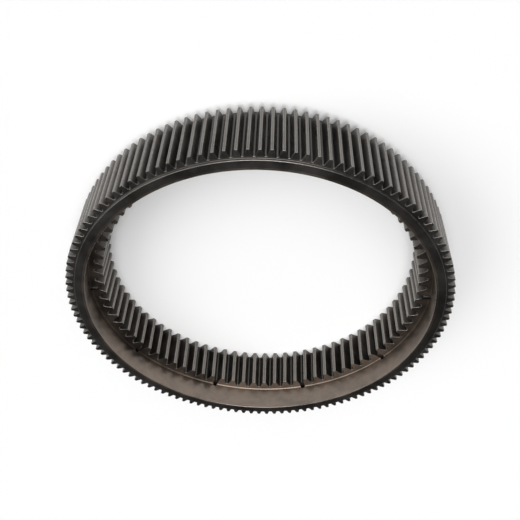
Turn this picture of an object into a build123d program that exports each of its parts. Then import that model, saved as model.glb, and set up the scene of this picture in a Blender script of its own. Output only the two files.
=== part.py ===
from build123d import *
import os
from math import ceil, cos, pi, radians, sin, sqrt, tan

# Ring gear of a planetary final drive: one forged and turned steel ring with straight spur
# teeth cut on both sides. The planet gears roll inside it, and the outer teeth hold it in the
# splined bore of its housing. It lies on its back face, with its axis on +Z and its mouth up.

# Tooth system of both gears, with heights in modules
pressure_angle = radians(20.0)
addendum_ratio = 1.0
dedendum_ratio = 1.25

# Inner gear
inner_module = 5.5
inner_teeth = 80

# Outer gear
outer_module = 4.0

# Radial steps of the turned sections, from the inner roots outwards
lip_above_inner_root = 4.6
recess_behind_lip = 2.4
least_wall_behind_recess = 13.0
front_step_below_outer_root = 2.5
back_step_below_outer_root = 4.7

# Lengths along the axis
ring_width = 97.0
back_step_length = 11.5
front_step_length = 3.0
lip_length = 4.0
shoulder_depth = 37.0

# Small turned details
recess_corner_bevel = 2.0
edge_break = 0.8

# Blind oil holes, drilled outwards from the bottoms of inner tooth gaps
hole_count = 10
hole_diameter = 7.0
wall_beyond_hole = 5.0

BOTTOM = (Align.CENTER, Align.CENTER, Align.MIN)


def involute_point(base_radius, roll, turn):
    """Point of the involute unwound by the angle roll, the whole curve turned by turn."""
    tangent_angle = roll + turn
    x = base_radius * (cos(tangent_angle) + roll * sin(tangent_angle))
    y = base_radius * (sin(tangent_angle) - roll * cos(tangent_angle))
    return Vector(x, y)


def mirrored(point):
    """The same point on the other flank of the tooth centred on +X."""
    return Vector(point.X, -point.Y)


def gear_face(teeth, module, root_radius, tip_radius):
    """Outline of a gear with outward involute teeth, the first one centred on +X."""
    base_radius = module * teeth / 2 * cos(pressure_angle)
    involute_of_pressure_angle = tan(pressure_angle) - pressure_angle
    turn = -pi / (2 * teeth) - involute_of_pressure_angle
    root_roll = sqrt(root_radius**2 - base_radius**2) / base_radius
    tip_roll = sqrt(tip_radius**2 - base_radius**2) / base_radius

    rolls = [root_roll, (root_roll + tip_roll) / 2, tip_roll]
    flank = [involute_point(base_radius, roll, turn) for roll in rolls]
    other_flank = [mirrored(point) for point in reversed(flank)]
    half_pitch = pi / teeth
    gap_middle = Vector(root_radius * cos(half_pitch), root_radius * sin(half_pitch))
    next_tooth_start = flank[0].rotate(Axis.Z, 360 / teeth)
    edges = [
        Spline(*flank),
        ThreePointArc(flank[-1], Vector(tip_radius, 0), other_flank[0]),
        Spline(*other_flank),
        ThreePointArc(other_flank[-1], gap_middle, next_tooth_start),
    ]
    return make_face([place * edge for place in PolarLocations(0, teeth) for edge in edges])


# Inner gear: its tips point at the axis, so its space is the outline of an outward gear
inner_pitch_radius = inner_module * inner_teeth / 2
inner_tip_radius = inner_pitch_radius - addendum_ratio * inner_module
inner_root_radius = inner_pitch_radius + dedendum_ratio * inner_module

# Mouth: a lip, and behind it the recess that the inner teeth's cutter runs out into
lip_radius = inner_root_radius + lip_above_inner_root
recess_radius = lip_radius + recess_behind_lip
shoulder_z = ring_width - shoulder_depth

# Outer gear: the smallest even number of teeth that keeps the wall behind the recess
least_outer_root = recess_radius + least_wall_behind_recess
outer_teeth = 2 * ceil(least_outer_root / outer_module + dedendum_ratio)
outer_pitch_radius = outer_module * outer_teeth / 2
outer_tip_radius = outer_pitch_radius + addendum_ratio * outer_module
outer_root_radius = outer_pitch_radius - dedendum_ratio * outer_module
front_step_radius = outer_root_radius - front_step_below_outer_root
back_step_radius = outer_root_radius - back_step_below_outer_root


def outer_body():
    """Disc with the outer teeth between two lower steps, each step's edge broken."""
    tooth_length = ring_width - back_step_length - front_step_length
    face = gear_face(outer_teeth, outer_module, outer_root_radius, outer_tip_radius)
    toothed = Pos(0, 0, back_step_length) * extrude(face, tooth_length)
    front_step = Cylinder(front_step_radius, ring_width / 2, align=BOTTOM)
    back_step = Cylinder(back_step_radius, ring_width / 2, align=BOTTOM)
    front_step = chamfer(front_step.edges().sort_by(Axis.Z)[-1], edge_break)
    back_step = chamfer(back_step.edges().sort_by(Axis.Z)[0], edge_break)
    return toothed + Pos(0, 0, ring_width / 2) * front_step + back_step


def inner_tooth_space():
    """Everything between the inner teeth, from the back face to the shoulder."""
    face = gear_face(inner_teeth, inner_module, inner_tip_radius, inner_root_radius)
    return extrude(face, shoulder_z)


def mouth_space():
    """Turned space above the shoulder: recess, lip, and the broken edge at the front face."""
    lip_z = ring_width - lip_length
    outline = Polyline(
        (0, shoulder_z),
        (recess_radius - recess_corner_bevel, shoulder_z),
        (recess_radius, shoulder_z + recess_corner_bevel),
        (recess_radius, lip_z),
        (lip_radius, lip_z),
        (lip_radius, ring_width - edge_break),
        (lip_radius + edge_break, ring_width),
        (0, ring_width),
        close=True,
    )
    return revolve(Plane.XZ * make_face(outline), Axis.Z)


def drill(hole_number):
    """One drill, pointing outwards in the middle of a gap and level with the shoulder."""
    length = outer_root_radius - wall_beyond_hole - inner_tip_radius
    gap_number = round(hole_number * inner_teeth / hole_count)
    pointing_outwards = Rot(0, 0, gap_number * 360 / inner_teeth) * Rot(0, 90, 0)
    shank = Pos(0, 0, inner_tip_radius) * Cylinder(hole_diameter / 2, length, align=BOTTOM)
    return Pos(0, 0, shoulder_z) * pointing_outwards * shank


ring = outer_body()
ring -= inner_tooth_space()
ring -= mouth_space()
ring -= [drill(number) for number in range(hole_count)]

os.makedirs("parts", exist_ok=True)
export_step(ring, "parts/ring_gear.step")
print("outer teeth", outer_teeth, "tip diameter", 2 * outer_tip_radius)
print("inner tip diameter", 2 * inner_tip_radius, "root diameter", 2 * inner_root_radius)
print("solids", len(ring.solids()), "valid", ring.is_valid, "volume", ring.volume)
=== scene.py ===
# %% [markdown]
# # Internal ring gear of a planetary final drive
#
# A ring gear of this kind starts as a forged steel ring. It is turned on a vertical lathe, its
# outer teeth are hobbed and its inner teeth are shaped, and ten oil holes are drilled from the
# inside. It leaves the works with a thin dark oil film, so it looks like brown grey steel.
#
# The CAD model gives the ring its exact teeth, steps and bores. This lesson builds the surface
# that covers it: the same sections, with the fillets and rounded edges that real cutters
# leave, and with a finish for each way in which the steel was cut.

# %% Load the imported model
from math import cos, pi, radians, sin, sqrt, tan

import bpy
import numpy as np
from mathutils import Matrix, Vector


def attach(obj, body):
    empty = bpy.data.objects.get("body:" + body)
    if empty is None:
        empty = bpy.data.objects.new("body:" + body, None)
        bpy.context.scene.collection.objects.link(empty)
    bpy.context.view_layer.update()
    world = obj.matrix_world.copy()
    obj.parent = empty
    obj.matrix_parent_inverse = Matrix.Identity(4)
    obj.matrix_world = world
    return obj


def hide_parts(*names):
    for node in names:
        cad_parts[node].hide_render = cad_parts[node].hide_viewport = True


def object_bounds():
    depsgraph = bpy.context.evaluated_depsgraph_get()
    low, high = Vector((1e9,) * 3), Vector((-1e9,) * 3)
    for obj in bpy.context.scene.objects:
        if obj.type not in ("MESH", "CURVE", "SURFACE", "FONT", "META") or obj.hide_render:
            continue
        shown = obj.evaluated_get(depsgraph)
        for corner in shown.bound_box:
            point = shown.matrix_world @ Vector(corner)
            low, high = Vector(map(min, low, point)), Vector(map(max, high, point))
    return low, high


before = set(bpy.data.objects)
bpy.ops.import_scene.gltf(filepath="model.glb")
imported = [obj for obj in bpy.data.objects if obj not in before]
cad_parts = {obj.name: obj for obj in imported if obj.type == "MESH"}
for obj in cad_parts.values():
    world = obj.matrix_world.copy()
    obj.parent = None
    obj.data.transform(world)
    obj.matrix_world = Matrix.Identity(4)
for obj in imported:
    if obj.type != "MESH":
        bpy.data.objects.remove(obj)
cad_low, cad_high = [list(corner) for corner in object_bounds()]
print("CAD box from", cad_low, "to", cad_high)

# %% [markdown]
# ## Sizes
#
# The driving sizes repeat those of the solid. They are written in millimetres, as on a
# workshop drawing, and turned into metres once, when the mesh is made.

# %% Sizes of the solid
PRESSURE_ANGLE = radians(20.0)
ADDENDUM_RATIO = 1.0
DEDENDUM_RATIO = 1.25

INNER_MODULE, INNER_TEETH = 5.5, 80
OUTER_MODULE, OUTER_TEETH = 4.0, 126
RING_WIDTH, SHOULDER_DEPTH = 97.0, 37.0
BACK_STEP_LENGTH, FRONT_STEP_LENGTH = 11.5, 3.0
LIP_ABOVE_ROOT, RECESS_BEHIND_LIP, LIP_LENGTH = 4.6, 2.4, 4.0
FRONT_STEP_BELOW_ROOT, BACK_STEP_BELOW_ROOT = 2.5, 4.7
HOLE_COUNT, HOLE_DIAMETER, WALL_BEYOND_HOLE = 10, 7.0, 5.0

inner_pitch_r = INNER_MODULE * INNER_TEETH / 2
inner_tip_r = inner_pitch_r - ADDENDUM_RATIO * INNER_MODULE
inner_root_r = inner_pitch_r + DEDENDUM_RATIO * INNER_MODULE
outer_pitch_r = OUTER_MODULE * OUTER_TEETH / 2
outer_tip_r = outer_pitch_r + ADDENDUM_RATIO * OUTER_MODULE
outer_root_r = outer_pitch_r - DEDENDUM_RATIO * OUTER_MODULE
lip_r = inner_root_r + LIP_ABOVE_ROOT
recess_r = lip_r + RECESS_BEHIND_LIP
front_step_r = outer_root_r - FRONT_STEP_BELOW_ROOT
back_step_r = outer_root_r - BACK_STEP_BELOW_ROOT
shoulder_z = RING_WIDTH - SHOULDER_DEPTH
teeth_top_z = RING_WIDTH - FRONT_STEP_LENGTH
lip_z = RING_WIDTH - LIP_LENGTH
print("outer tip diameter", 2 * outer_tip_r, "inner tip diameter", 2 * inner_tip_r)

# %% [markdown]
# ## The tooth outline
#
# A hob or a shaper cutter generates an involute flank. It also leaves a round at the foot of
# the flank, as large as the cutter's own tip, and deburring leaves a small round at the top.
# The outline is worked out for half a tooth, mirrored, and turned round the ring. The spaces
# of the inner gear have the same form as teeth that point outwards, so one function does
# both, with the two rounds changing places.

# %% Half a tooth, as points of its outline
ROUND_STEPS, FLANK_STEPS = 3, 4


def unwound(base_r, roll, turn):
    """Point of the involute: base circle point at the angle roll + turn, plus the unwound
    thread of length base radius times roll along the tangent there."""
    angle = roll + turn
    return base_r * np.array([cos(angle) + roll * sin(angle), sin(angle) - roll * cos(angle)])


def half_tooth(teeth, module, low_r, high_r, low_round, high_round):
    """Points from the middle of a gap to the middle of the tooth on +X. Each round touches
    the flank and its circle: its centre lies off the flank by the radius of the round."""
    base_r = module * teeth / 2 * cos(PRESSURE_ANGLE)
    turn = -pi / (2 * teeth) - (tan(PRESSURE_ANGLE) - PRESSURE_ANGLE)
    low_roll = (sqrt((low_r + low_round) ** 2 - base_r ** 2) - low_round) / base_r
    high_roll = (sqrt((high_r - high_round) ** 2 - base_r ** 2) + high_round) / base_r

    def arc(roll, radius, side, circle_r):
        normal = np.array([sin(roll + turn), -cos(roll + turn)])
        centre = unwound(base_r, roll, turn) + side * radius * normal
        start = np.arctan2(*(-side * normal)[::-1])
        touch = centre * circle_r / np.hypot(*centre) - centre
        sweep = (np.arctan2(touch[1], touch[0]) - start + pi) % (2 * pi) - pi
        steps = start + sweep * np.arange(1, ROUND_STEPS + 1) / ROUND_STEPS
        return centre + radius * np.stack([np.cos(steps), np.sin(steps)], axis=1)

    low_arc = arc(low_roll, low_round, 1, low_r)[::-1]
    high_arc = arc(high_roll, high_round, -1, high_r)
    rolls = np.linspace(low_roll, high_roll, FLANK_STEPS + 1)
    flank = np.array([unwound(base_r, roll, turn) for roll in rolls])
    gap_middle = low_r * np.array([[cos(pi / teeth), -sin(pi / teeth)]])
    return np.vstack([gap_middle, low_arc, flank, high_arc, [[high_r, 0.0]]])


# %% [markdown]
# Worn and polished places are the corners that touch something, so each point also carries a
# number for how much of a corner it is. The finish reads it later as edge wear and a painted
# highlight.

# %% The whole outline, and the same outline moved into the metal
CORNER_POINTS = ROUND_STEPS + 1


def gear_outline(teeth, module, low_r, high_r, rounds, worn_and_highlit_end):
    """Closed outline, counter-clockwise, and how much edge wear and painted highlight each point
    gets, from 0 to 1.
    """
    half = half_tooth(teeth, module, low_r, high_r, *rounds)
    tooth = np.vstack([half, half[-2:0:-1] * [1, -1]])
    half_worn_and_highlit = np.zeros(len(half))
    corner = slice(1, 1 + CORNER_POINTS) if worn_and_highlit_end == "low" else slice(-1 - CORNER_POINTS, -1)
    half_worn_and_highlit[corner] = 1.0
    worn_and_highlit = np.concatenate([half_worn_and_highlit, half_worn_and_highlit[-2:0:-1]])
    turns = 2 * pi * np.arange(teeth) / teeth
    turned = np.stack([
        np.outer(np.cos(turns), tooth[:, 0]) - np.outer(np.sin(turns), tooth[:, 1]),
        np.outer(np.sin(turns), tooth[:, 0]) + np.outer(np.cos(turns), tooth[:, 1]),
    ], axis=-1)
    return turned.reshape(-1, 2), np.tile(worn_and_highlit, teeth)


def moved(outline, distance):
    """The outline moved to its right by distance, along the mean normal at each point."""
    ahead = np.roll(outline, -1, axis=0) - outline
    ahead /= np.linalg.norm(ahead, axis=1, keepdims=True)
    along = ahead + np.roll(ahead, 1, axis=0)
    along /= np.linalg.norm(along, axis=1, keepdims=True)
    return outline + distance * np.stack([along[:, 1], -along[:, 0]], axis=1)


OUTER_ROOT_FILLET, OUTER_TIP_ROUND = 1.3, 0.6
INNER_ROOT_FILLET, INNER_TIP_ROUND = 1.9, 0.8
outer_outline, outer_worn_and_highlit = gear_outline(
    OUTER_TEETH, OUTER_MODULE, outer_root_r, outer_tip_r,
    (OUTER_ROOT_FILLET, OUTER_TIP_ROUND), "high")
inner_outline, inner_worn_and_highlit = gear_outline(
    INNER_TEETH, INNER_MODULE, inner_tip_r, inner_root_r,
    (INNER_TIP_ROUND, INNER_ROOT_FILLET), "low")
print("outline points", len(outer_outline), "outside and", len(inner_outline), "inside")

# %% [markdown]
# ## The turned sections
#
# Everything between the two gears was turned: front step, front face, lip, recess and
# shoulder, and the back face with its own step. A lathe tool has a rounded nose, so inner
# corners get its radius, and outer edges are broken by hand with a file. The section is a
# list of corners in radius and height, each with the radius of its round.

# %% A line of corners with rounds
TURNED_STEPS = 4
SUPPORT = 0.25


def rounded_section(corners):
    """Points (radius, height, wear and highlight) along a line of corners (radius, height, round,
    wear and highlight); the last number is edge wear with a painted highlight.
    Each round is an arc from one tangent point to the other, with a support point on the
    straight before and after it, so that smooth shading stays flat on the straights."""
    points = [(*corners[0][:2], 0.0)]
    for before, corner, after in zip(corners, corners[1:], corners[2:]):
        here = np.array(corner[:2])
        back = np.array(before[:2]) - here
        onward = np.array(after[:2]) - here
        back, onward = back / np.hypot(*back), onward / np.hypot(*onward)
        half_angle = np.arccos(np.clip(back @ onward, -1, 1)) / 2
        reach = corner[2] / tan(half_angle)
        middle = (back + onward) / np.hypot(*(back + onward))
        centre = here + middle * corner[2] / sin(half_angle)
        first, last = here + back * reach - centre, here + onward * reach - centre
        start = np.arctan2(first[1], first[0])
        sweep = (np.arctan2(last[1], last[0]) - start + pi) % (2 * pi) - pi
        points.append((*(here + back * (reach + SUPPORT)), 0.0))
        angles = start + sweep * np.arange(TURNED_STEPS + 1) / TURNED_STEPS
        arc = centre + corner[2] * np.stack([np.cos(angles), np.sin(angles)], axis=1)
        points += [(*arc_point, corner[3]) for arc_point in arc]
        points.append((*(here + onward * (reach + SUPPORT)), 0.0))
    points.append((*corners[-1][:2], 0.0))
    return points


# Filed edges get this much edge wear and painted highlight, inner corners none.
EDGE_ROUND, FILED_WEAR_AND_HIGHLIGHT, INSIDE = 0.8, 0.6, 0.0
LIP_ROUND, STEP_FILLET, RECESS_FILLET = 0.35, 0.5, 2.0
END_FACE_MARGIN = 1.2
front_section = rounded_section([
    (front_step_r + END_FACE_MARGIN, teeth_top_z),
    (front_step_r, teeth_top_z, STEP_FILLET, INSIDE),
    (front_step_r, RING_WIDTH, EDGE_ROUND, FILED_WEAR_AND_HIGHLIGHT),
    (lip_r, RING_WIDTH, EDGE_ROUND, FILED_WEAR_AND_HIGHLIGHT),
    (lip_r, lip_z, LIP_ROUND, FILED_WEAR_AND_HIGHLIGHT),
    (recess_r, lip_z, LIP_ROUND, INSIDE),
    (recess_r, shoulder_z, RECESS_FILLET, INSIDE),
    (inner_root_r + 2 * END_FACE_MARGIN, shoulder_z),
])
back_section = rounded_section([
    (inner_root_r + 2 * END_FACE_MARGIN, 0.0),
    (back_step_r, 0.0, EDGE_ROUND, FILED_WEAR_AND_HIGHLIGHT),
    (back_step_r, BACK_STEP_LENGTH, STEP_FILLET, INSIDE),
    (back_step_r + END_FACE_MARGIN, BACK_STEP_LENGTH),
])
print("section points", len(front_section), "in front and", len(back_section), "behind")

# %% [markdown]
# ## One closed skin
#
# The surface is one chain of closed loops that goes round the metal: over the front, down the
# inner teeth, out along the back and up the outer teeth to its start. Neighbouring loops of
# equal length are joined by quads. Where a circle meets a tooth outline the numbers differ,
# and a strip of triangles takes up the next point of whichever loop is behind in angle.

# %% Loops and strips
CIRCLE_POINTS = 504
TURNED, HOBBED, SHAPED, DRILLED = range(4)


def circle_loop(radius, z, wear_and_highlight):
    """Loop of points on a circle at one height."""
    angles = 2 * pi * np.arange(CIRCLE_POINTS) / CIRCLE_POINTS
    points = np.stack([radius * np.cos(angles), radius * np.sin(angles),
                       np.full(CIRCLE_POINTS, z)], axis=1)
    return points, np.full(CIRCLE_POINTS, wear_and_highlight)


def tooth_loops(outline, worn_and_highlit, z_from, z_to, into_metal, end_round):
    """Loops of a toothed surface between two heights, with rounded ends: over each end the
    outline moves into the metal by r (1 - cos a) while its height changes by r (1 - sin a)."""
    direction = np.sign(z_to - z_from)
    angles = np.linspace(pi / 2, 0, ROUND_STEPS + 1)
    start = [(end_round * (1 - cos(a)), z_from + direction * end_round * (1 - sin(a)))
             for a in angles]
    support = z_from + direction * (end_round + SUPPORT), z_to - direction * (end_round + SUPPORT)
    finish = [(inset, z_to - (z - z_from)) for inset, z in reversed(start)]
    levels = [*start, (0.0, support[0]), (0.0, support[1]), *finish]
    loops = []
    for inset, z in levels:
        flat = moved(outline, into_metal * inset)
        wear_and_highlight = np.maximum(worn_and_highlit, 1.0 if inset > 0 else 0.0)
        loops.append((np.column_stack([flat, np.full(len(flat), z)]), wear_and_highlight))
    return loops


def strip(a, b, a_start, b_start):
    """Faces between two loops, by quads where their lengths agree, else by triangles."""
    a_count, b_count = len(a), len(b)
    if a_count == b_count:
        here = np.arange(a_count)
        on = (here + 1) % a_count
        return np.stack([here + a_start, on + a_start, on + b_start, here + b_start], axis=1)

    def middles(loop):
        angles = np.unwrap(np.arctan2(loop[:, 1], loop[:, 0]))
        return (angles + np.append(angles[1:], angles[0] + 2 * pi)) / 2

    a_mid, b_mid = middles(a), middles(b)
    a_here, b_here = np.arange(a_count), np.arange(b_count)
    b_reached = np.searchsorted(b_mid, a_mid, side="left") % b_count
    a_reached = np.searchsorted(a_mid, b_mid, side="right") % a_count
    from_a = [a_here + a_start, (a_here + 1) % a_count + a_start, b_reached + b_start]
    from_b = [a_reached + a_start, (b_here + 1) % b_count + b_start, b_here + b_start]
    return np.vstack([np.stack(from_a, axis=1), np.stack(from_b, axis=1)])


TOOTH_END_ROUND = 0.4
chain = [(loop, TURNED) for loop in (circle_loop(*point) for point in front_section)]
chain += [(loop, SHAPED) for loop in tooth_loops(
    inner_outline, inner_worn_and_highlit, shoulder_z, 0.0, 1, TOOTH_END_ROUND)]
chain[-1] = (chain[-1][0], TURNED)
chain += [(loop, TURNED) for loop in (circle_loop(*point) for point in back_section)]
chain += [(loop, HOBBED) for loop in tooth_loops(
    outer_outline, outer_worn_and_highlit, BACK_STEP_LENGTH, teeth_top_z, -1, TOOTH_END_ROUND)]
chain[-1] = (chain[-1][0], TURNED)
starts = np.cumsum([0] + [len(loop[0]) for loop, kind in chain])
points = np.vstack([loop[0] for loop, kind in chain])
wear_and_highlight = np.concatenate([loop[1] for loop, kind in chain])
print("loops", len(chain), "points", len(points))

# %% Mesh of the ring
MM = 0.001
faces, kinds = [], []
for number, (loop, kind) in enumerate(chain):
    following = (number + 1) % len(chain)
    new = strip(loop[0], chain[following][0][0], starts[number], starts[following])
    faces += new.tolist()
    kinds += [kind] * len(new)
mesh = bpy.data.meshes.new("ring_gear_finish")
mesh.from_pydata((points * MM).tolist(), [], faces)
mesh.polygons.foreach_set("material_index", kinds)
# Edge wear and painted highlight, one number per point.
wear_and_highlight_layer = mesh.attributes.new("edge_wear_and_highlight", "FLOAT", "POINT")
wear_and_highlight_layer.data.foreach_set("value", wear_and_highlight.astype(np.float32))
ring = bpy.data.objects.new("ring_gear_finish", mesh)
bpy.context.scene.collection.objects.link(ring)
print("faces", len(faces))

# %% [markdown]
# ## Oil holes
#
# Ten blind holes run outwards from the bottoms of inner tooth gaps, level with the shoulder.
# A twist drill has a point of 118 degrees, so each hole ends in a cone. The drills are one
# mesh, and a Boolean takes them out of the ring.

# %% Ten drills
DRILL_POINT_ANGLE = radians(118.0)
DRILL_SIDES = 40


def drill_mesh():
    """All drills as arrays. A point of a drill's side is out * reach + across * r cos a +
    up * (height + r sin a), where out and across are the radius and the tangent there. A disc
    closes the inner end and a cone of the drill's point angle the outer one."""
    radius = HOLE_DIAMETER / 2
    hole_end = outer_root_r - WALL_BEYOND_HOLE
    point_length = radius / tan(DRILL_POINT_ANGLE / 2)
    gaps = np.round(np.arange(HOLE_COUNT) * INNER_TEETH / HOLE_COUNT)
    turns, nothing = 2 * pi * gaps / INNER_TEETH, np.zeros(HOLE_COUNT)
    out = np.stack([np.cos(turns), np.sin(turns), nothing], axis=1)[:, None, None]
    across = np.stack([-np.sin(turns), np.cos(turns), nothing], axis=1)[:, None, None]
    up = np.array([0.0, 0.0, 1.0])
    angles = (2 * pi * np.arange(DRILL_SIDES) / DRILL_SIDES)[:, None]
    reach = np.array([inner_tip_r - radius, hole_end])[:, None, None]
    sides = (out * reach + across * radius * np.cos(angles)
             + up * (shoulder_z + radius * np.sin(angles)))
    tips = out[:, 0] * (hole_end + point_length) + up * shoulder_z
    verts = np.concatenate([sides.reshape(HOLE_COUNT, -1, 3), tips], axis=1)

    here = np.arange(DRILL_SIDES)
    on, far = (here + 1) % DRILL_SIDES, here + DRILL_SIDES
    far_on, tip = on + DRILL_SIDES, np.full(DRILL_SIDES, 2 * DRILL_SIDES)
    shank = np.stack([here, on, far_on, far], axis=1)
    cone = np.stack([far, far_on, tip], axis=1)
    faces = []
    for first in np.arange(HOLE_COUNT) * verts.shape[1]:
        faces.append((here[::-1] + first).tolist())
        for quad, triangle in zip((shank + first).tolist(), (cone + first).tolist()):
            faces += [quad, triangle]
    drills = bpy.data.meshes.new("drills")
    drills.from_pydata((verts.reshape(-1, 3) * MM).tolist(), [], faces)
    return drills


drills = bpy.data.objects.new("drills", drill_mesh())
bpy.context.scene.collection.objects.link(drills)
print("drills", HOLE_COUNT, "faces", len(drills.data.polygons))

# %% Cut the holes, and shade smoothly between true edges
SHARP_ANGLE, FLATNESS = radians(40.0), 60


def built(piece):
    """The piece's mesh with its modifiers applied."""
    graph = bpy.context.evaluated_depsgraph_get()
    return bpy.data.meshes.new_from_object(
        piece.evaluated_get(graph), preserve_all_data_layers=True, depsgraph=graph)


for name in ("turned", "hobbed", "shaped", "drilled"):
    mesh.materials.append(bpy.data.materials.new(f"steel_{name}"))
for slot_number in range(DRILLED + 1):
    drills.data.materials.append(mesh.materials[slot_number])
drills.data.polygons.foreach_set("material_index", [DRILLED] * len(drills.data.polygons))

cut = ring.modifiers.new("oil_holes", "BOOLEAN")
cut.operation, cut.solver, cut.object = "DIFFERENCE", "MANIFOLD", drills
ring.data = built(ring)
ring.modifiers.clear()
bpy.data.objects.remove(drills)
ring.data.name = "ring_gear_finish"
ring.data.polygons.foreach_set("use_smooth", [True] * len(ring.data.polygons))
ring.data.set_sharp_from_angle(angle=SHARP_ANGLE)
weighted = ring.modifiers.new("flat_faces_stay_flat", "WEIGHTED_NORMAL")
weighted.mode, weighted.weight, weighted.keep_sharp = "FACE_AREA", FLATNESS, True
ring.data = built(ring)
ring.modifiers.clear()
ring.data.name = "ring_gear_finish"
ring.data.calc_loop_triangles()
print("triangles", len(ring.data.loop_triangles), "materials", len(ring.data.materials))

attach(ring, "root")
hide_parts("ring_gear")

# %% [markdown]
# ## Finishes
#
# Each finish is oiled alloy steel, told apart by how it was cut. All of them share a stain
# pattern from handling and oil, and the polish of the exposed edges, which is also a painted
# highlight. What differs is the direction and the spacing of the tool marks.

# %% Two small tools for materials
def linear(hex_colour):
    """Colour written as sRGB hex, turned into the linear values that a socket takes."""
    parts = [int(hex_colour[i:i + 2], 16) / 255 for i in (1, 3, 5)]
    return [c / 12.92 if c <= 0.04045 else ((c + 0.055) / 1.055) ** 2.4 for c in parts] + [1.0]


def add(tree, kind, settings=(), out=0, **inputs):
    """Adds a node and gives one of its outputs. An input is a value, or the output of
    another node; in0, in1 and so on stand for a socket's number."""
    made = tree.nodes.new("ShaderNode" + kind)
    for key, value in dict(settings).items():
        setattr(made, key, value)
    for key, value in inputs.items():
        socket = made.inputs[int(key[2:]) if key[2:].isdigit() else key.replace("_", " ")]
        if isinstance(value, bpy.types.NodeSocket):
            tree.links.new(value, socket)
        else:
            socket.default_value = value
    return made.outputs[out] if made.outputs else None


TIMES, PLUS = {"operation": "MULTIPLY"}, {"operation": "ADD"}
MINUS, ROOT, ARCTAN = {"operation": "SUBTRACT"}, {"operation": "SQRT"}, {"operation": "ARCTAN2"}
SMOOTH, COLOURS, LINE = ({"interpolation_type": "SMOOTHSTEP"}, {"data_type": "RGBA"},
                         {"noise_dimensions": "1D"})

# %% [markdown]
# ### The steel that all cut surfaces share
#
# This is machined alloy steel under a thin film of oil: a metal with a dark, slightly warm
# colour and a broad soft gloss. The tools moved round the axis or along it, so the finish
# works in cylinder coordinates: radius, height and angle, from the object's own coordinates.
#
# Oil spreads in patches a few centimetres wide, over a grain of a few millimetres from
# handling. A place deep below its tooth tips is darker: this is painted shade in the tooth gaps.

# %% Where a place is on the ring
METRE = 1000.0


def cylinder_place(tree):
    """Radius, height and angle of a place, in millimetres and radians, and the place."""
    place = add(tree, "TexCoord", out="Object")
    x, y, z = [add(tree, "Math", TIMES, in0=part, in1=METRE)
               for part in add(tree, "SeparateXYZ", in0=place).node.outputs]
    squares = add(tree, "Math", PLUS, in0=add(tree, "Math", TIMES, in0=x, in1=x),
                  in1=add(tree, "Math", TIMES, in0=y, in1=y))
    return (add(tree, "Math", ROOT, in0=squares), z,
            add(tree, "Math", ARCTAN, in0=y, in1=x), place)


# %% Colour of oiled steel
STAINS_PER_METRE, STAIN_DETAIL, STAIN_BREAKUP, STAIN_SWIRL = 28.0, 5.0, 0.62, 0.4
GRAINS_PER_METRE, GRAIN_DETAIL, GRAIN_BREAKUP = 420.0, 4.0, 0.6
OIL_FILM, RUBBED_STEEL = "#454341", "#9c9792"
OIL_LEAST, LINE_POLISH, GAP_PAINTED_SHADE, EDGE_POLISH_AND_HIGHLIGHT = 0.5, 0.14, 0.6, 0.6
NOISE_LOW, NOISE_HIGH, ALL_CLEAN, LINE_TOP = 0.3, 0.7, 0.66, 0.8


def oiled_colour(tree, bare, stains, lines, deep, edges):
    """From the oil film to bare steel by the stains, paler on the tops of tool marks, darker deep
    in the gaps as painted shade, and paler on the exposed edges as polish and painted highlight."""
    clean = add(tree, "MapRange", SMOOTH, Value=stains, From_Min=NOISE_LOW,
                From_Max=ALL_CLEAN, To_Min=OIL_LEAST)
    steel = add(tree, "Mix", COLOURS, 2, in0=clean, in6=linear(OIL_FILM), in7=bare)
    bright = add(tree, "MapRange", SMOOTH, Value=lines, From_Min=NOISE_LOW,
                 From_Max=LINE_TOP, To_Max=LINE_POLISH)
    steel = add(tree, "Mix", COLOURS, 2, in0=bright, in6=steel, in7=linear(RUBBED_STEEL))
    # Darker deep in the tooth gaps: painted shade in the oil-film colour.
    if deep:
        gap_shade = add(tree, "Math", TIMES, in0=deep, in1=GAP_PAINTED_SHADE)
        steel = add(tree, "Mix", COLOURS, 2, in0=gap_shade, in6=steel, in7=linear(OIL_FILM))
    # Exposed edges turn towards rubbed steel: real polish and a painted highlight.
    polish_and_highlight = add(tree, "Math", TIMES, in0=edges, in1=EDGE_POLISH_AND_HIGHLIGHT)
    return add(tree, "Mix", COLOURS, 2, in0=polish_and_highlight, in6=steel, in7=linear(RUBBED_STEEL))


# %% The whole finish
STAIN_GLOSS, GRAIN_GLOSS, EDGE_GLOSS, GRAIN_HEIGHT = (-0.06, 0.07), 0.03, 0.1, 0.006
LEAST_EDGE, RUB_FROM, RUB_TO = 0.35, 0.34, 0.6
MOUTH_FROM, MOUTH_TO = recess_r + 1.0, recess_r + 0.5


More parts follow.
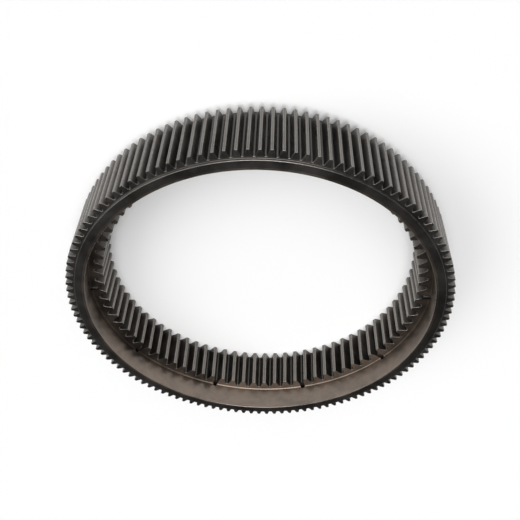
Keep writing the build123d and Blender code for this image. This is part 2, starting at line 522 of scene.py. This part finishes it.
def oiled_steel(material, marks, roughness, mark_height, tint, depth=None, mouth_tint=None):
    """Fills a material. marks and depth add their nodes and give a socket: the height of
    the tool marks, and the depth below the tooth tips. The heights are in millimetres."""
    material.use_nodes = True
    tree = material.node_tree
    tree.nodes.clear()
    radius, z, angle, place = cylinder_place(tree)
    stains = add(tree, "TexNoise", Vector=place, Scale=STAINS_PER_METRE, Detail=STAIN_DETAIL,
                 Roughness=STAIN_BREAKUP, Distortion=STAIN_SWIRL)
    grain = add(tree, "TexNoise", Vector=place, Scale=GRAINS_PER_METRE, Detail=GRAIN_DETAIL,
                Roughness=GRAIN_BREAKUP)
    lines = marks(tree, radius, z, angle)
    patchy = add(tree, "MapRange", SMOOTH, Value=grain, From_Min=RUB_FROM,
                 From_Max=RUB_TO, To_Min=LEAST_EDGE)
    # Edge wear and painted highlight, read from the mesh.
    worn_and_highlit = add(tree, "Attribute", {"attribute_name": "edge_wear_and_highlight"}, "Fac")
    edges = add(tree, "Math", TIMES, in0=worn_and_highlit, in1=patchy)

    bare = linear(tint)
    if mouth_tint:
        in_mouth = add(tree, "MapRange", SMOOTH, Value=radius, From_Min=MOUTH_FROM,
                       From_Max=MOUTH_TO)
        bare = add(tree, "Mix", COLOURS, 2, in0=in_mouth, in6=bare, in7=linear(mouth_tint))
    colour = oiled_colour(tree, bare, stains, lines, depth and depth(tree, radius), edges)

    gloss = add(tree, "MapRange", SMOOTH, Value=stains, From_Min=NOISE_LOW,
                From_Max=NOISE_HIGH, To_Min=roughness + STAIN_GLOSS[0],
                To_Max=roughness + STAIN_GLOSS[1])
    speckle = add(tree, "MapRange", SMOOTH, Value=grain, From_Min=NOISE_LOW,
                  From_Max=NOISE_HIGH, To_Min=-GRAIN_GLOSS, To_Max=GRAIN_GLOSS)
    gloss = add(tree, "Math", PLUS, in0=gloss, in1=speckle)
    gloss = add(tree, "Math", MINUS, in0=gloss,
                in1=add(tree, "Math", TIMES, in0=edges, in1=EDGE_GLOSS))
    height = add(tree, "Math", PLUS,
                 in0=add(tree, "Math", TIMES, in0=lines, in1=mark_height),
                 in1=add(tree, "Math", TIMES, in0=grain, in1=GRAIN_HEIGHT))
    bump = add(tree, "Bump", Strength=1.0, Distance=MM, Height=height)
    shader = add(tree, "BsdfPrincipled", Base_Color=colour, Metallic=1.0, Roughness=gloss,
                 Normal=bump)
    add(tree, "OutputMaterial", in0=shader)
    print(material.name, "nodes", len(tree.nodes))


# %% [markdown]
# ### Turned faces
#
# A lathe tool leaves a fine spiral: rings on a flat face, and hoops on a cylinder. Radius
# plus height changes along both, so one line pattern of that sum serves them all. The tool
# was fed about 0.4 mm a turn, and the depth of the rings is uneven. Inside the mouth the
# oil has dried to a warmer brown.

# %% Turned finish
FEED_LINES_PER_MM = 2.4


def turning_marks(tree, radius, z, angle):
    """Uneven rings: one-dimensional noise of radius plus height."""
    along = add(tree, "Math", TIMES, in0=add(tree, "Math", PLUS, in0=radius, in1=z),
                in1=FEED_LINES_PER_MM)
    return add(tree, "TexNoise", LINE, W=along, Detail=2.0, Roughness=0.7)


turned, hobbed, shaped, drilled = ring.data.materials[:4]
oiled_steel(turned, turning_marks, roughness=0.36, mark_height=0.006, tint="#686562",
            mouth_tint="#8d8075")

# %% [markdown]
# ### Hobbed outer teeth
#
# A hob cuts each flank in many small scoops while it is fed down the ring, which leaves bands
# across the flank about 2 mm apart, and thin lines where one scoop meets the next.

# %% Hobbed finish
HOB_BANDS_PER_MM, SCOOPS_PER_MM = 0.45, 3.0
BAND_SHARE, SCOOP_SHARE = 0.6, 0.4
TIP_MARGIN = 1.0


def hobbing_marks(tree, radius, z, angle):
    """Bands of height, crossed by weaker lines of radius."""
    bands = add(tree, "TexNoise", LINE, Detail=2.0,
                W=add(tree, "Math", TIMES, in0=z, in1=HOB_BANDS_PER_MM))
    scoops = add(tree, "TexNoise", LINE, Detail=1.0,
                 W=add(tree, "Math", TIMES, in0=radius, in1=SCOOPS_PER_MM))
    return add(tree, "Math", PLUS, in0=add(tree, "Math", TIMES, in0=bands, in1=BAND_SHARE),
               in1=add(tree, "Math", TIMES, in0=scoops, in1=SCOOP_SHARE))


def outer_depth(tree, radius):
    """From 0 at the outer tips to 1 at their roots."""
    return add(tree, "MapRange", SMOOTH, Value=radius, From_Min=outer_tip_r - TIP_MARGIN,
               From_Max=outer_root_r)


oiled_steel(hobbed, hobbing_marks, roughness=0.38, mark_height=0.010, tint="#6a6865",
            depth=outer_depth)

# %% [markdown]
# ### Shaped inner teeth
#
# A shaper's cutter planes along the axis and turns a little between strokes. Its marks are
# thin straight lines from end to end of the tooth.

# %% Shaped finish
STROKES_PER_MM = 2.2


def shaping_marks(tree, radius, z, angle):
    """Lines of radius and angle, which run straight along the axis."""
    along = add(tree, "Math", PLUS, in0=add(tree, "Math", TIMES, in0=radius, in1=STROKES_PER_MM),
                in1=add(tree, "Math", TIMES, in0=angle, in1=INNER_TEETH))
    return add(tree, "TexNoise", LINE, W=along, Detail=2.0, Roughness=0.6)


def inner_depth(tree, radius):
    """From 0 at the inner tips to 1 at their roots."""
    return add(tree, "MapRange", SMOOTH, Value=radius, From_Min=inner_tip_r + TIP_MARGIN,
               From_Max=inner_root_r)


oiled_steel(shaped, shaping_marks, roughness=0.38, mark_height=0.008, tint="#6e6a65",
            depth=inner_depth)

# %% [markdown]
# ### Drilled holes
#
# A twist drill leaves rings along its way, and the inside of the hole gets the dark oil-film
# colour as painted shade.

# %% Drilled finish
DRILL_RINGS_PER_MM = 5.0


def drilling_marks(tree, radius, z, angle):
    """Rings along the drill's way, which is the radius."""
    along = add(tree, "Math", TIMES, in0=radius, in1=DRILL_RINGS_PER_MM)
    return add(tree, "TexNoise", LINE, W=along, Detail=1.0)


# The dark tint inside the holes is painted shade.
oiled_steel(drilled, drilling_marks, roughness=0.5, mark_height=0.015, tint=OIL_FILM)

# %% [markdown]
# ## Studio
#
# The ring lies on a large white floor. The room above is dark, so that the flat front face
# stays dark, with a pale wall low down all round. Broad soft lights stand beside the
# viewer, on the left and above: they light the floor to white and draw the bright edges.

# %% Floor
FLOOR_HALF = 6.0
floor_mesh = bpy.data.meshes.new("floor")
floor_mesh.from_pydata([(-FLOOR_HALF, -FLOOR_HALF, 0), (FLOOR_HALF, -FLOOR_HALF, 0),
                        (FLOOR_HALF, FLOOR_HALF, 0), (-FLOOR_HALF, FLOOR_HALF, 0)],
                       [], [(0, 1, 2, 3)])
floor = bpy.data.objects.new("floor", floor_mesh)
bpy.context.scene.collection.objects.link(floor)
paper = bpy.data.materials.new("floor_paper")
paper.use_nodes = True
paper_shader = paper.node_tree.nodes["Principled BSDF"]
paper_shader.inputs["Base Color"].default_value = linear("#f6f6f6")
paper_shader.inputs["Roughness"].default_value = 0.9
paper_shader.inputs["Specular IOR Level"].default_value = 0.0
floor_mesh.materials.append(paper)
print("floor", 2 * FLOOR_HALF, "m wide")

# %% World
ROOM, WALL = 0.06, 0.7
FADE_START, WALL_TOP = 0.05, 0.26
world = bpy.data.worlds.new("studio")
world.use_nodes = True
bpy.context.scene.world = world
sky = world.node_tree
sky.nodes.clear()
direction = add(sky, "TexCoord", out="Generated")
height = add(sky, "SeparateXYZ", out=2, in0=direction)
strength = add(sky, "MapRange", SMOOTH, Value=height, From_Min=FADE_START, From_Max=WALL_TOP,
               To_Min=WALL, To_Max=ROOM)
add(sky, "OutputWorld", in0=add(sky, "Background", Color=linear("#ffffff"), Strength=strength))

# %% [markdown]
# A sun with a wide disc is the plainest soft light: it is the same everywhere on the floor,
# and metal shows it as a broad soft box.

# %% Three soft lights
CAMERA_AZIMUTH = radians(-127.12)
LEFT_AZIMUTH = radians(-52.12)


def soft_sun(name, azimuth, elevation, spread, strength):
    """Sun lamp that shines from a direction towards the origin."""
    lamp = bpy.data.lights.new(name, "SUN")
    lamp.angle, lamp.energy = spread, strength
    sun = bpy.data.objects.new(name, lamp)
    away = Vector((cos(elevation) * cos(azimuth), cos(elevation) * sin(azimuth), sin(elevation)))
    sun.rotation_euler = away.to_track_quat("Z", "Y").to_euler()
    bpy.context.scene.collection.objects.link(sun)


soft_sun("beside_viewer", CAMERA_AZIMUTH, elevation=radians(46.0), spread=radians(48.0),
         strength=1.5)
soft_sun("left", LEFT_AZIMUTH, elevation=radians(45.0), spread=radians(44.0), strength=1.1)
soft_sun("above", CAMERA_AZIMUTH, elevation=radians(78.0), spread=radians(30.0),
         strength=1.35)

# %% [markdown]
# ## Camera
#
# The ring is seen from above its rim, with the near arc at the top of the picture, so the
# camera is turned over. It is close, which makes the near teeth clearly larger.

# %% Camera
ELEVATION = radians(41.157)
ROLL = radians(2.333)
DISTANCE = 858.05 * MM
SENSOR, LENS = 36.0, 44.29
SHIFT_X, SHIFT_Y = 0.0015, 0.1016

camera_data = bpy.data.cameras.new("camera")
camera_data.sensor_width, camera_data.lens = SENSOR, LENS
camera_data.shift_x, camera_data.shift_y = SHIFT_X, SHIFT_Y
camera = bpy.data.objects.new("camera", camera_data)
bpy.context.scene.collection.objects.link(camera)
to_camera = Vector((cos(ELEVATION) * cos(CAMERA_AZIMUTH), cos(ELEVATION) * sin(CAMERA_AZIMUTH),
                    sin(ELEVATION)))
upright_right = Vector((-sin(CAMERA_AZIMUTH), cos(CAMERA_AZIMUTH), 0.0))
right_0, up_0 = -upright_right, -to_camera.cross(upright_right)
right = cos(ROLL) * right_0 + sin(ROLL) * up_0
up = cos(ROLL) * up_0 - sin(ROLL) * right_0
turned_camera = Matrix((right, up, to_camera)).transposed().to_4x4()
front_centre = Vector((0, 0, cad_high[2]))
camera.matrix_world = Matrix.Translation(front_centre + DISTANCE * to_camera) @ turned_camera
bpy.context.scene.camera = camera
bpy.context.scene.view_settings.view_transform = "Standard"
print("camera at", [round(part, 3) for part in camera.matrix_world.translation])
